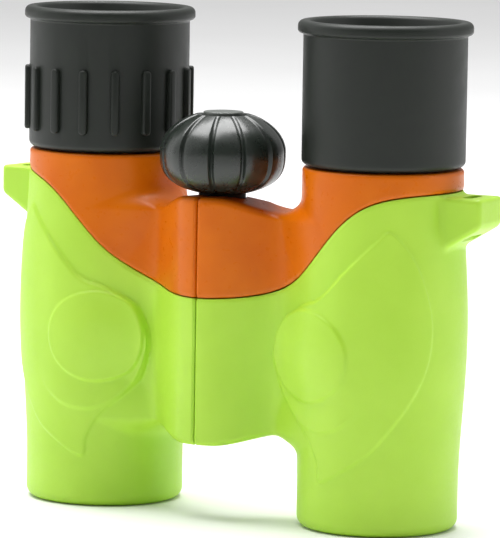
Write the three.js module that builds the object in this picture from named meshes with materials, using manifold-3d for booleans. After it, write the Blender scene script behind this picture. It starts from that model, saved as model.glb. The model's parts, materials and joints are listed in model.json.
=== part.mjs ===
// Children's roof-prism binoculars, standing upright on their objective rims.
//
// Millimetres, +Z up. The origin is in the standing plane, in the middle of the outer box. -Y is the
// side that faces up in use, and the user's left barrel is on +X. Each half is one straight
// telescope on an arm that swings about a vertical hinge in the bridge between them. A knob over
// the hinge turns a screw, and the nut on it lifts a lens carriage in each barrel.

import * as THREE from 'three';
import { mergeVertices } from 'three/addons/utils/BufferGeometryUtils.js';
import Module from 'manifold-3d';

const wasm = await Module();
wasm.setup();

// ---------------------------------------------------------------- driving dimensions

const GAP = 0.3;                 // clearance between neighbouring pieces
const FACETS = 28;               // facets round a large circle
const SMALL_FACETS = 16;         // facets round a small circle

const HINGE_Y = -6.42;           // hinge axis, ahead of the middle of the outer box
const ARM_X = 32;                // barrel axis from hinge axis, sideways
const ARM_Y = 8;                 // barrel axis from hinge axis, backwards
const ARM = Math.hypot(ARM_X, ARM_Y);
const SWEEP = Math.atan2(ARM_Y, ARM_X);

const BARREL_R = 15.95;          // barrel at its ends
const BARREL_SWELL = 1.3;        // extra radius at the middle of the grip
const SWELL_BOTTOM = 12;
const BARREL_TOP = 71.2;
const RIM_ROUND = 2;             // rounding of the objective rim
const BORE_R = 12.6;             // inside of the housing
const SHELF_R = 10.4;            // shelf that the objective rests on
const SHELF_Z = [11.4, 13];

const SKIN = 1.35;               // thickness of the armour
const CORE = SKIN + GAP;         // depth of the housing's core below the outer surface

const BRIDGE_R = 9.85;           // round front of the bridge, about the hinge axis
const BRIDGE_Z = [15.5, 64.5];
const BRIDGE_INNER_R = 6.9;      // inside of the bridge's shell
const SEAM = 0.15;               // half the gap between the two halves at the front
const REAR_ANGLE = 40 * Math.PI / 180;   // bridge shell's end behind the arm
const WEB_FRONT = 0.9;           // arm's front surface, ahead of the arm's centre line
const WEB_BACK = 6.3;            // arm's back surface, behind it
const WEB_END = 20;              // arm's end, inside the barrel wall
const FLANGE_TOP_Z = 62;         // underside of the bridge's top plate
const FLANGE_BOTTOM_Z = 17.9;    // upper side of its bottom plate
const TOP_HOLE_R = 5;
const BOTTOM_HOLE_R = 5.2;

const KNUCKLE_R = 6;
const KNUCKLE_BORE_R = 3.3;
const LEFT_KNUCKLES = [[18.2, 25.4], [54.6, 61.7]];
const RIGHT_KNUCKLES = [[26.6, 33.4], [46.6, 53.4]];

const LUG_ANGLE = 4.6 * Math.PI / 180;   // strap lug, turned back from straight sideways
const LUG_WIDTH = 11;
const LUG_TIP = 23.3;            // from the barrel axis
const LUG_TOP_Z = 66.5;
const LUG_SLOT = [17.6, 20.8];   // strap slot, from the barrel axis
const LUG_SLOT_WIDTH = 7.2;

const EYECUP_Z = [71.6, 100];
const EYECUP_R = 16.13;
const LIP_R = 17.23;
const LIP_ROLL = 1;
const CUP_INNER_R = 13.8;        // recess that the eye looks into
const CUP_FLOOR_Z = 90.2;
const CARRIER_R = [12.6, 14.3];
const CARRIER_Z = [71.6, 89.9];
const RIBS = 16;
const RIB_START = 14.2 * Math.PI / 180;
const RIB_Z = [75, 88];
const RIB_WIDTH = 1.8;
const RIB_R = 17.1;

const EYE_TUBE_R = [9.6, 12.3];
const EYE_TUBE_Z = [67, 88.4];
const OPTIC_R = EYE_TUBE_R[0] - GAP;

const ARM_SLOT_N = [-3.9, -1.5];         // slot for the focus arm, across the web
const ARM_SLOT_Z = [35.7, 43.5];
const FOCUS_ARM_N = [-3.6, -1.8];
const FOCUS_ARM_Z = [38.6, 40.6];
const FOCUS_ARM_TIP = 4.1;       // from the hinge axis
const CARRIAGE_R = [8.6, 12.2];
const CARRIAGE_Z = [37.2, 42];

const KNOB_Z = [64.95, 80.7];
const KNOB_R = 12.49;
const KNOB_CORE_R = 5.7;
const LOBES = 12;
const LOBE_GROOVE = 0.7;         // depth of the grooves between lobes
const GROOVE_START = 20.3 * Math.PI / 180;

// ---------------------------------------------------------------- finishes

const ORANGE = { color: 0xde8639, roughness: 0.45, metalness: 0 };
const GREEN = { color: 0xb8e45e, roughness: 0.6, metalness: 0 };
const DARK_RUBBER = { color: 0x33382f, roughness: 0.75, metalness: 0 };
const BLACK_PLASTIC = { color: 0x1c1d1b, roughness: 0.5, metalness: 0 };
const GREY_PLASTIC = { color: 0xa1a4a0, roughness: 0.4, metalness: 0 };
const GLASS = { color: 0xcfe0e4, roughness: 0.05, metalness: 0 };
const STEEL = { color: 0xb4b6b8, roughness: 0.35, metalness: 1 };
const BRASS = { color: 0xc9a24e, roughness: 0.35, metalness: 1 };
const WHITE_PLASTIC = { color: 0xe8e8e2, roughness: 0.5, metalness: 0 };

// ---------------------------------------------------------------- shape helpers

// A three.js geometry with shared corners, without the slivers that a lathe leaves on its axis.
function weld(geometry) {
  const bare = new THREE.BufferGeometry();
  bare.setAttribute('position', geometry.getAttribute('position').clone());
  const count = geometry.getAttribute('position').count;
  bare.setIndex(geometry.index ? geometry.index.clone() : [...Array(count).keys()]);
  const merged = mergeVertices(bare, 1e-4);
  const kept = [];
  const index = merged.index.array;
  for (let i = 0; i < index.length; i += 3) {
    const [a, b, c] = [index[i], index[i + 1], index[i + 2]];
    if (a !== b && b !== c && c !== a) kept.push(a, b, c);
  }
  merged.setIndex(kept);
  return merged;
}

function solid(geometry) {
  const shape = weld(geometry);
  return new wasm.Manifold(new wasm.Mesh({
    numProp: 3,
    vertProperties: new Float32Array(shape.getAttribute('position').array),
    triVerts: new Uint32Array(shape.index.array),
  }));
}

function surface(manifold) {
  const mesh = manifold.getMesh();
  const geometry = new THREE.BufferGeometry();
  geometry.setAttribute('position', new THREE.BufferAttribute(mesh.vertProperties, mesh.numProp));
  geometry.setIndex(new THREE.BufferAttribute(mesh.triVerts, 1));
  return geometry;
}

// A solid of revolution about +Z. The profile is [radius, height] pairs, outside going up.
function turned(profile, facets = FACETS) {
  const points = profile.map(([r, z]) => new THREE.Vector2(r, z));
  return new THREE.LatheGeometry(points, facets).rotateX(Math.PI / 2);
}

function disc(radius, [low, high], facets = SMALL_FACETS) {
  return turned([[0, low], [radius, low], [radius, high], [0, high]], facets);
}

function ring([inner, outer], [low, high], facets = SMALL_FACETS) {
  return turned([[inner, low], [outer, low], [outer, high], [inner, high], [inner, low]], facets);
}

// An outline in the XY plane raised between two heights.
function raised(outline, [low, high]) {
  const flat = new THREE.Shape(outline);
  return new THREE.ExtrudeGeometry(flat, { depth: high - low, bevelEnabled: false })
    .translate(0, 0, low);
}

// An outline of [distance, height] pairs, stood upright along a direction in the XY plane and
// given a width across it.
function upright(outline, angle, width, [x, y] = [0, 0]) {
  const flat = new THREE.Shape(outline.map(([d, z]) => new THREE.Vector2(d, z)));
  const along = new THREE.Vector3(Math.cos(angle), Math.sin(angle), 0);
  const up = new THREE.Vector3(0, 0, 1);
  const across = new THREE.Vector3().crossVectors(along, up);
  return new THREE.ExtrudeGeometry(flat, { depth: width, bevelEnabled: false })
    .translate(0, 0, -width / 2)
    .applyMatrix4(new THREE.Matrix4().makeBasis(along, up, across))
    .translate(x, y, 0);
}

function arc(radius, from, to, steps) {
  const points = [];
  for (let i = 0; i <= steps; i += 1) {
    const angle = from + (to - from) * i / steps;
    points.push(new THREE.Vector2(radius * Math.cos(angle), radius * Math.sin(angle)));
  }
  return points;
}

// side is +1 for the user's left half and -1 for the right half.
const armAngle = (side) => (side > 0 ? SWEEP : Math.PI - SWEEP);
const barrelAxis = (side) => [side * ARM_X, ARM_Y];

// A place in one half: along the arm from the hinge, and ahead of the arm's centre line.
function onArm(side, along, ahead) {
  const x = along * Math.cos(SWEEP) + ahead * Math.sin(SWEEP);
  const y = along * Math.sin(SWEEP) - ahead * Math.cos(SWEEP);
  return new THREE.Vector2(side * x, y);
}

function armBox(side, [near, far], [back, front], heights) {
  const corners = [[near, back], [far, back], [far, front], [near, front]];
  return raised(corners.map(([along, ahead]) => onArm(side, along, ahead)), heights);
}

function atBarrel(side, geometry) {
  return geometry.translate(...barrelAxis(side), 0);
}

const group = new THREE.Group();
group.position.y = HINGE_Y;

function addPiece(name, geometry, finish) {
  const mesh = new THREE.Mesh(weld(geometry), new THREE.MeshStandardMaterial(finish));
  mesh.name = name;
  group.add(mesh);
}

// ---------------------------------------------------------------- outer form of one half

function barrelRadius(z) {
  const t = THREE.MathUtils.clamp((z - SWELL_BOTTOM) / (BARREL_TOP - SWELL_BOTTOM), 0, 1);
  return BARREL_R + BARREL_SWELL * Math.sin(Math.PI * t) ** 2;
}

function barrelForm(side) {
  const profile = [[0, 0], [BARREL_R - RIM_ROUND, 0], [BARREL_R, RIM_ROUND]];
  const steps = 6;
  for (let i = 0; i <= steps; i += 1) {
    const z = SWELL_BOTTOM + (BARREL_TOP - SWELL_BOTTOM) * i / steps;
    profile.push([barrelRadius(z), z]);
  }
  profile.push([0, BARREL_TOP]);
  return solid(atBarrel(side, turned(profile)));
}

// The straight tube under the armour.
function barrelCore(side, inset) {
  const corner = [[BARREL_R - RIM_ROUND, inset], [BARREL_R - inset, RIM_ROUND + inset]];
  const profile = [[0, inset], ...corner, [BARREL_R - inset, BARREL_TOP - 1], [0, BARREL_TOP - 1]];
  return solid(atBarrel(side, turned(profile)));
}

// The round front of the bridge: a slice of a cylinder from the front seam to behind the arm.
function bridgeSlice(side, radius, heights) {
  const front = Math.asin(SEAM / radius) - Math.PI / 2;
  const middle = [new THREE.Vector2(0, 0), new THREE.Vector2(SEAM, -1)];
  const outline = [...middle, ...arc(radius, front, SWEEP + REAR_ANGLE, 12)];
  return solid(raised(outline.map((p) => new THREE.Vector2(side * p.x, p.y)), heights));
}

// The arm between bridge and barrel, with a straight flank that leaves the bridge's curve.
function webForm(side, inset, heights) {
  const radius = BRIDGE_R - inset;
  const s = radius * Math.cos(REAR_ANGLE);
  const n = radius * Math.sin(REAR_ANGLE);
  const front = WEB_FRONT - inset;
  const outline = [[0, 0], [s, -n], [WEB_END, inset - WEB_BACK], [WEB_END, front], [13.2, front], [s, n]];
  return solid(raised(outline.map(([along, ahead]) => onArm(side, along, ahead)), heights));
}

function halfForm(side, inset) {
  const heights = [BRIDGE_Z[0] + inset, BRIDGE_Z[1]];
  const barrel = inset > 0 ? barrelCore(side, inset) : barrelForm(side);
  return barrel
    .add(bridgeSlice(side, BRIDGE_R - inset, heights))
    .add(webForm(side, inset, heights));
}

// The line between housing and armour: low on the bridge, sweeping up over the barrel's face.
function partingHeight(along) {
  return 55.95 + 11.4 * Math.tanh((along - 24.4) / 9.3);
}

function belowParting(side, offset) {
  const outline = [[-6, -5], [60, -5]];
  for (let along = 60; along >= -6; along -= 3) outline.push([along, partingHeight(along) + offset]);
  return solid(upright(outline, armAngle(side), 80));
}

// ---------------------------------------------------------------- housings and armour

function housing(side) {
  const knuckles = side > 0 ? LEFT_KNUCKLES : RIGHT_KNUCKLES;
  let body = halfForm(side, 0).subtract(belowParting(side, GAP / 2)).add(halfForm(side, CORE));
  body = body.subtract(solid(disc(BRIDGE_INNER_R, [FLANGE_BOTTOM_Z, FLANGE_TOP_Z], FACETS)));
  for (const heights of knuckles) {
    body = body.add(solid(disc(KNUCKLE_R, heights)))
      .add(solid(armBox(side, [0, 8], [-4, 3], heights)))
      .subtract(solid(disc(KNUCKLE_BORE_R, heights)));
  }
  const bore = [[0, -1], [BORE_R, -1], [BORE_R, SHELF_Z[0]], [SHELF_R, SHELF_Z[0]],
    [SHELF_R, SHELF_Z[1]], [BORE_R, SHELF_Z[1]], [BORE_R, 80], [0, 80]];
  return body.subtract(solid(disc(TOP_HOLE_R, [FLANGE_TOP_Z - 0.1, 70])))
    .subtract(solid(disc(BOTTOM_HOLE_R, [10, FLANGE_BOTTOM_Z + 0.1])))
    .subtract(solid(atBarrel(side, turned(bore))))
    .subtract(solid(armBox(side, [0, ARM - 11], ARM_SLOT_N, ARM_SLOT_Z)));
}

function strapLug(side) {
  const angle = side > 0 ? LUG_ANGLE : Math.PI - LUG_ANGLE;
  const outline = [[14.8, 55.8], [17.3, 55.8], [LUG_TIP, 62], [LUG_TIP, LUG_TOP_Z - 0.6],
    [LUG_TIP - 0.6, LUG_TOP_Z], [14.8, LUG_TOP_Z]];
  const slot = LUG_SLOT.flatMap((d, i) => (i ? [[d, 80], [d, 40]] : [[d, 40], [d, 80]]));
  return solid(upright(outline, angle, LUG_WIDTH, barrelAxis(side)))
    .subtract(solid(upright(slot, angle, LUG_SLOT_WIDTH, barrelAxis(side))));
}

function armour(side) {
  const rim = solid(atBarrel(side, disc(BORE_R + GAP, [-1, 20], FACETS)));
  const inside = halfForm(side, SKIN);
  return halfForm(side, 0).intersect(belowParting(side, -GAP / 2))
    .add(strapLug(side).subtract(solid(atBarrel(side, disc(15.2, [50, 70], FACETS)))))
    .subtract(inside)
    .subtract(rim)
    .subtract(solid(disc(BRIDGE_R - SKIN + 0.1, [BRIDGE_Z[0] + SKIN, 60], FACETS)))
    .subtract(solid(disc(BOTTOM_HOLE_R, [10, 20])));
}

// ---------------------------------------------------------------- eyepieces

function eyecup(side) {
  const [low, high] = EYECUP_Z;
  const bead = LIP_R - LIP_ROLL;
  const profile = [[CARRIER_R[1] + GAP, low], [EYECUP_R - 1.2, low], [EYECUP_R, low + 1.3],
    [EYECUP_R, high - 5.5], [bead + 0.3, high - 2.6]];
  for (const turn of [-30, 10, 50, 90]) {
    const angle = turn * Math.PI / 180;
    profile.push([bead + LIP_ROLL * Math.cos(angle), high - LIP_ROLL + LIP_ROLL * Math.sin(angle)]);
  }
  profile.push([CUP_INNER_R + 1, high - 0.1], [CUP_INNER_R, high - 1.2], [CUP_INNER_R, CUP_FLOOR_Z],
    [CARRIER_R[1] + GAP, CUP_FLOOR_Z], profile[0]);
  return solid(atBarrel(side, turned(profile)));
}

function gripRibs(side) {
  const [low, high] = RIB_Z;
  const end = RIB_WIDTH / 2;
  const outline = [[EYECUP_R - 0.6, low], [RIB_R - 0.4, low], [RIB_R, low + end], [RIB_R, high - end],
    [RIB_R - 0.4, high], [EYECUP_R - 0.6, high]];
  return Array.from({ length: RIBS }, (_, i) => {
    const angle = RIB_START + i * 2 * Math.PI / RIBS;
    return solid(upright(outline, angle, RIB_WIDTH, barrelAxis(side)));
  });
}

// A lens: two round faces that stand out from a cylindrical edge.
function lens(radius, [low, high], bulge) {
  const steps = 3;
  const face = [];
  for (let i = 0; i <= steps; i += 1) {
    const r = radius * i / steps;
    face.push([r, bulge * (1 - (r / radius) ** 2)]);
  }
  const lower = face.map(([r, rise]) => [r, low - rise]);
  const upper = face.map(([r, rise]) => [r, high + rise]).reverse();
  return turned([...lower, ...upper], SMALL_FACETS);
}

function addEyepiece(name, side) {
  const cup = side > 0 ? [eyecup(side)] : [eyecup(side), ...gripRibs(side)];
  addPiece(`${name}_eyecup`, surface(cup.reduce((whole, more) => whole.add(more))), DARK_RUBBER);
  const carrier = side > 0 ? 'left_eyecup_carrier' : 'right_diopter_ring';
  addPiece(carrier, atBarrel(side, ring(CARRIER_R.map((r, i) => r + (i ? 0 : GAP)), CARRIER_Z)),
    BLACK_PLASTIC);
  addPiece(`${name}_eyepiece_tube`, atBarrel(side, ring(EYE_TUBE_R, EYE_TUBE_Z)), BLACK_PLASTIC);
  addPiece(`${name}_eye_lens`, atBarrel(side, lens(OPTIC_R, [82.6, 85], 1)), GLASS);
  addPiece(`${name}_eye_lens_ring`, atBarrel(side, ring([8.2, OPTIC_R], [85.8, 88.2])), BLACK_PLASTIC);
  addPiece(`${name}_lens_spacer`, atBarrel(side, ring([8.2, OPTIC_R], [75.6, 81.9])), BLACK_PLASTIC);
  addPiece(`${name}_field_lens`, atBarrel(side, lens(OPTIC_R, [72.8, 74.6], 0.9)), GLASS);
  addPiece(`${name}_field_stop`, atBarrel(side, ring([5.5, OPTIC_R], [69, 69.8])), BLACK_PLASTIC);
}

// ---------------------------------------------------------------- prisms

const PRISM_WIDTH = 13;
const CAGE_Z = [46.6, 64.4];

function addPrisms(name, side) {
  const [x, y] = barrelAxis(side);
  const hole = [[-7.6, 40], [7.6, 40], [7.6, 70], [-7.6, 70]];
  const cage = solid(atBarrel(side, disc(12.2, CAGE_Z)))
    .subtract(solid(upright(hole, 0, PRISM_WIDTH + 2 * GAP, [x, y])));
  addPiece(`${name}_prism_cage`, surface(cage), BLACK_PLASTIC);
  const lower = [[-7.2, 46.9], [7.2, 46.9], [7.2, 48.4], [-3.6, 55.2], [-7.2, 51.6]];
  const upper = [[-3.2, 55.6], [7.2, 49], [7.2, 61], [4, 64.1], [-4, 64.1], [-7.2, 59.4]];
  addPiece(`${name}_lower_prism`, upright(lower, 0, PRISM_WIDTH, [x, y]), GLASS);
  addPiece(`${name}_upper_prism`, upright(upper, 0, PRISM_WIDTH, [x, y]), GLASS);
  addPiece(`${name}_prism_plate`, atBarrel(side, ring([6.2, 12.2], [64.7, 65.3])), STEEL);
}

// ---------------------------------------------------------------- focusing and objective group

function carriage(side) {
  return solid(atBarrel(side, ring(CARRIAGE_R, CARRIAGE_Z)))
    .add(solid(armBox(side, [FOCUS_ARM_TIP, ARM - 10.6], FOCUS_ARM_N, FOCUS_ARM_Z)));
}

function addFrontOptics(name, side) {
  addPiece(`${name}_focus_carriage`, surface(carriage(side)), BLACK_PLASTIC);
  addPiece(`${name}_focus_lens`, atBarrel(side, lens(CARRIAGE_R[0] - GAP, [38.6, 40.6], 0.8)), GLASS);
  addPiece(`${name}_objective_lens`, atBarrel(side, lens(12.2, [7.8, 11], 1.2)), GLASS);
  addPiece(`${name}_objective_ring`, atBarrel(side, ring([10.8, 12.3], [5.2, 7.4])), BLACK_PLASTIC);
}

function addHalf(name, side) {
  addPiece(`${name}_housing`, surface(housing(side)), ORANGE);
  addPiece(`${name}_armour`, surface(armour(side)), GREEN);
  addEyepiece(name, side);
  addPrisms(name, side);
  addFrontOptics(name, side);
}

// ---------------------------------------------------------------- hinge

function dustShield() {
  const from = -155 * Math.PI / 180;
  const to = -15 * Math.PI / 180;
  const outline = [...arc(6.6, from, to, 8), ...arc(6.2, to, from, 8)];
  return raised(outline, [34, 46]);
}

function addHinge() {
  addPiece('lower_hinge_pin', disc(3, [18, 33.2]), STEEL);
  addPiece('upper_hinge_bush', ring([2.1, 3], [46.8, 61.9]), BRASS);
  addPiece('lower_hinge_washer', ring([KNUCKLE_BORE_R, KNUCKLE_R], [25.7, 26.3]), WHITE_PLASTIC);
  addPiece('upper_hinge_washer', ring([KNUCKLE_BORE_R, KNUCKLE_R], [53.7, 54.3]), WHITE_PLASTIC);
  addPiece('hinge_end_cap', disc(4.9, [15.3, 17.7]), BLACK_PLASTIC);
  addPiece('hinge_dust_shield', dustShield(), BLACK_PLASTIC);
}

// ---------------------------------------------------------------- focus drive

// A spool: the carriage arms run in its groove, so it lifts both at any fold of the bridge.
function focusNut() {
  const [hub, flange, bore] = [3, 5.7, 2.05];
  return turned([[bore, 37], [flange, 37], [flange, 38.2], [hub, 38.2], [hub, 41], [flange, 41],
    [flange, 42.2], [bore, 42.2], [bore, 37]], SMALL_FACETS);
}

// The rubber grip: an oblate body of revolution pinched by grooves into lobes.
function knobGrip() {
  const [low, high] = KNOB_Z;
  const middle = (low + high) / 2;
  const reach = (high - low) / 2;
  const profile = [[KNOB_CORE_R + GAP, low + 0.5], [7, low]];
  for (const turn of [-60, -35, -12, 12, 35, 60]) {
    const angle = turn * Math.PI / 180;
    const r = 7 + (KNOB_R - 7) * Math.cos(angle) ** 0.8;
    profile.push([r, middle + reach * Math.sin(angle)]);
  }
  profile.push([7, high], [KNOB_CORE_R + GAP, high - 0.4], profile[0]);
  const grip = turned(profile, LOBES * 3);
  const places = grip.getAttribute('position');
  for (let i = 0; i < places.count; i += 1) {
    const [x, y] = [places.getX(i), places.getY(i)];
    const radius = Math.hypot(x, y);
    const phase = Math.cos(LOBES * Math.atan2(y, x));
    const pinch = radius > KNOB_CORE_R + 2 * GAP ? LOBE_GROOVE * Math.max(0, phase) : 0;
    places.setXY(i, x * (1 - pinch / radius), y * (1 - pinch / radius));
  }
  return grip.rotateZ(GROOVE_START);
}

function addFocusDrive() {
  addPiece('focus_nut', focusNut(), BRASS);
  addPiece('focus_spindle', disc(1.8, [34.1, 74]), STEEL);
  addPiece('spindle_clip', ring([2.05, 3], [45, 45.8]), STEEL);
  addPiece('knob_collar', ring([2.1, 4.7], [62.2, 66.5]), BLACK_PLASTIC);
  addPiece('focus_knob', knobGrip(), DARK_RUBBER);
  addPiece('knob_core', turned([[2.1, 66.8], [KNOB_CORE_R, 66.8], [KNOB_CORE_R, 79.9], [2.8, 79.9],
    [2.8, 78], [2.1, 78], [2.1, 66.8]], SMALL_FACETS), BLACK_PLASTIC);
  addPiece('knob_screw', turned([[0, 74.3], [1.2, 74.3], [1.2, 78.3], [2.5, 78.3], [2.5, 79.7],
    [0, 79.7]], SMALL_FACETS), STEEL);
  addPiece('knob_cap', disc(4, [80.2, 80.95]), GREY_PLASTIC);
}

addHalf('left', 1);
addHalf('right', -1);
addHinge();
addFocusDrive();

export default group;
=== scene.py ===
"""Children's compact binoculars, standing on their objective rims.

The moulded shells are one smooth form per half, cut into the orange housing and the green armour.
Everything turned on a lathe in the real object is spun from a profile. Working sizes are in
millimetres about the hinge axis, and every finished mesh is in metres in the frame's own axes.
"""

import json
import math

import bmesh
import bpy
import numpy as np
from mathutils import Matrix, Vector


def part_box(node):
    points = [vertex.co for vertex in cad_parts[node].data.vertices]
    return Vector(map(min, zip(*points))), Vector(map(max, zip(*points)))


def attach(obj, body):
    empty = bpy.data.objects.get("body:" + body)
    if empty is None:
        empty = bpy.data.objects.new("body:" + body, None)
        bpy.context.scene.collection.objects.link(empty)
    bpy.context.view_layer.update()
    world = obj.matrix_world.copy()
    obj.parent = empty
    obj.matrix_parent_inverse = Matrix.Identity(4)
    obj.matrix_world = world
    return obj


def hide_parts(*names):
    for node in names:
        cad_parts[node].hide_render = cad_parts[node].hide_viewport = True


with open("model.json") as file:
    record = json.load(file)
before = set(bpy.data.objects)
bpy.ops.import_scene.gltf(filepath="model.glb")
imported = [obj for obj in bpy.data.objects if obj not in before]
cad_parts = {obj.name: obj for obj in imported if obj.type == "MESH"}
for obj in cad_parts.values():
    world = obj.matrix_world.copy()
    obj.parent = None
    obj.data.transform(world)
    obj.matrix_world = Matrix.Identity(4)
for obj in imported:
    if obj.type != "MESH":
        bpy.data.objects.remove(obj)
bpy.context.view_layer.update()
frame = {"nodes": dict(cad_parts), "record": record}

MM = 0.001


def centre_of(node):
    low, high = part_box(node)
    return (low + high) / (2 * MM)


# ---------------------------------------------------------------- driving sizes, in millimetres

HINGE = centre_of("lower_hinge_pin")
LEFT_AXIS = centre_of("left_objective_lens")
ARM_X = LEFT_AXIS.x - HINGE.x    # from the hinge to the left barrel's axis
ARM_Y = LEFT_AXIS.y - HINGE.y
SWEEP = math.atan2(ARM_Y, ARM_X)         # how far each arm leans back from the hinge

BARREL_R = 15.9                  # bare barrel at its ends
BARREL_TOP = 71.2
TOP_ROUND = 0.7
RIM_ROUND = 2.2
SWELL = 0.9                      # grip's swelling before the raised pattern
OUTER_SWELL = 0.45               # what the outer side adds to it
SWELL_Z = (7.0, 71.2)

BRIDGE_R = 9.85
BRIDGE_Z = (15.2, 64.5)
BRIDGE_ROUND = 1.3
BRIDGE_FALL = 2.9                # how far the bridge's top sinks towards the barrel
FALL_SPAN = (1, 14)              # where along the arm it sinks
BRIDGE_RISE = 2.2                # how far its bottom climbs towards the barrel
RISE_SPAN = (1, 15)
WEB_FRONT = 0.9                  # web between bridge and barrel: its front, ahead of the arm's line
WEB_BACK = 6.3                   # and its back, behind that line
WEB_REACH = 26.0                 # it ends inside the barrel
WEB_FILLET = 1.5
VALLEY_FILLET = 15.0             # broad hollow between bridge and barrel
REAR_FILLET = 3.5                # the same at the back
VALLEY_BLEND = (-5, 2)           # places ahead of the arm's line where one becomes the other
REAR_ANGLE = math.radians(40)    # the back is cut at this angle, to make room for the fold
REAR_SPAN = (12, 16)             # where along the arm that cut runs out
REAR_ROUND = 0.8
END_FILLET = 4.4                 # hollow where the bridge's top and bottom meet the barrel
LOW_FILLET = 1.0                 # what the bottom adds to it
LOW_FROM = 40.0                  # height below which it does
LOW_BLEND = 10.0
END_SPAN = (14, 25)              # where along the arm that hollow runs out
END_DEPTH = 17.0                 # and how far from the bridge's ends
SEAM = 0.1                       # half the gap between the halves
SEAM_ROUND = 0.3

SKIN = 1.35                      # armour thickness over the core
GAP = 0.3                        # between housing and armour, and round the objective's bore
BORE_R = 12.6
HUB_FLOOR = 17.6                 # lowest point of the room inside the bridge
WEB_FLOOR = 18.7
OBJECTIVE_HOLE_TOP = 20          # the armour's hole for the objective is cut to this height
END_CAP_HOLE = 5.2
END_CAP_HOLE_Z = (5, 25)
HINGE_ROOM = 6.9                 # round room for the knuckles, inside the bridge
HINGE_ROOM_Z = (17.9, 62)
CORE_R, CORE_TOP = 15.3, 70.8    # what the shell's form leaves for the core: in the barrel,
CORE_HUB_R, CORE_HUB_TOP = 9.3, 61.8     # round the hinge,
CORE_WEB_TOP = 61.2              # and between them
COLLAR_HOLE = 5
COLLAR_HOLE_Z = (55, 70)
OVER_BRIDGE = 70                 # above the bridge, for cutters
OVER_BARREL = 80                 # above the barrel
UNDER_ALL = -5

LUG_ANGLE = math.radians(4.6)
LUG_ROOT = 10                    # its start, inside the barrel
LUG_TIP = 23.3
LUG_HALF_WIDTH = 5.5
LUG_TOP = 66.5
LUG_LIP = 60.9                   # lower edge of the lug's end face
LUG_SLANT = 0.6                  # rise of its underside towards the tip
LUG_FILLET = 0.9
LIP_ROUND = 0.9
LUG_SIDE_ROUND = 1.0
LUG_ROOT_ROUND = 0.2
LUG_TOP_ROUND = 0.7
SLOT_OUT = 19.2                  # the strap slot's middle, from the barrel's axis
SLOT_HALF = (1.1, 2.1)           # round end's radius, and half the straight part
SLOT_Z = (40, 80)

PARTING_Z = 55.95                # parting line's height where it is steepest
PARTING_RISE = 11.4              # how far it falls and climbs from there
PARTING_MIDDLE = 24.4            # where along the arm it is steepest
PARTING_SPREAD = 9.3
GROOVE_DEPTH = 0.32              # dip beside the parting line
GROOVE_HALF = 0.75

MERGE = 1e-4                     # points closer than this are one
SHARP = math.radians(38)         # edges that turn more than this stay sharp
SPLINTER = 0.01                  # what a cut leaves that is smaller than this is cleared away
FAR = 40.0                       # well clear of the bridge
TINY = 1e-9                      # keeps a division from failing
VOXEL = 0.36      # mesh size of the moulded shells

HALVES = {"left": (1, "left_half"), "right": (-1, "right_half")}         # side of the hinge, and body


def barrel_axis(side):
    return Vector((side * ARM_X, ARM_Y, 0))


def on_arm(side, along, ahead):
    """A place so far along the arm from the hinge, and so far ahead of the arm's line."""
    x = along * math.cos(SWEEP) + ahead * math.sin(SWEEP)
    y = along * math.sin(SWEEP) - ahead * math.cos(SWEEP)
    return Vector((side * x, y, 0))


def from_arm(x, y):
    """The reverse of on_arm on the left side: how far along the arm, and ahead of its line."""
    along = x * math.cos(SWEEP) + y * math.sin(SWEEP)
    ahead = x * math.sin(SWEEP) - y * math.cos(SWEEP)
    return along, ahead


# ---------------------------------------------------------------- mesh helpers


def finished(name, bm, smooth=True):
    """Turns a bmesh in working millimetres into an object in the frame's metres."""
    bmesh.ops.remove_doubles(bm, verts=bm.verts, dist=MERGE)
    bmesh.ops.recalc_face_normals(bm, faces=bm.faces)
    mesh = bpy.data.meshes.new(name)
    bm.to_mesh(mesh)
    bm.free()
    mesh.transform(Matrix.Scale(MM, 4) @ Matrix.Translation((HINGE.x, HINGE.y, 0)))
    piece = bpy.data.objects.new(name, mesh)
    bpy.context.scene.collection.objects.link(piece)
    if smooth:
        mesh.shade_smooth()
        mesh.set_sharp_from_angle(angle=SHARP)
    return piece


def prism(outline, heights):
    """A flat outline raised between two heights, as a bmesh in working millimetres."""
    low, high = heights
    bm = bmesh.new()
    face = bm.faces.new([bm.verts.new((p[0], p[1], low)) for p in outline])
    raised = bmesh.ops.extrude_face_region(bm, geom=[face])
    tops = [v for v in raised["geom"] if isinstance(v, bmesh.types.BMVert)]
    bmesh.ops.translate(bm, vec=(0, 0, high - low), verts=tops)
    return bm


def post(radius, heights, centre=Vector((0, 0, 0)), segments=96):
    """A round post or, as a cutter, a round hole."""
    low, high = heights
    bm = bmesh.new()
    middle = Matrix.Translation((centre.x, centre.y, (low + high) / 2))
    bmesh.ops.create_cone(bm, cap_ends=True, segments=segments, radius1=radius, radius2=radius,
                          depth=high - low, matrix=middle)
    return bm


ARC_STEPS = 6


def rounded(corners):
    """A profile of (radius, height, rounding) corners, with each rounding drawn as an arc."""
    points = []
    count = len(corners)
    for i, (r, z, fillet) in enumerate(corners):
        here = Vector((r, z))
        if not fillet:
            points.append(here)
            continue
        before = (Vector(corners[i - 1][:2]) - here).normalized()
        after = (Vector(corners[(i + 1) % count][:2]) - here).normalized()
        half = before.angle(after) / 2
        reach = fillet / math.tan(half)
        middle = here + (before + after).normalized() * (fillet / math.sin(half))
        start = here + before * reach - middle
        sweep = start.angle_signed(here + after * reach - middle)
        for k in range(ARC_STEPS + 1):
            turn = Matrix.Rotation(-sweep * k / ARC_STEPS, 2)
            points.append(middle + turn @ start)
    return points


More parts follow.
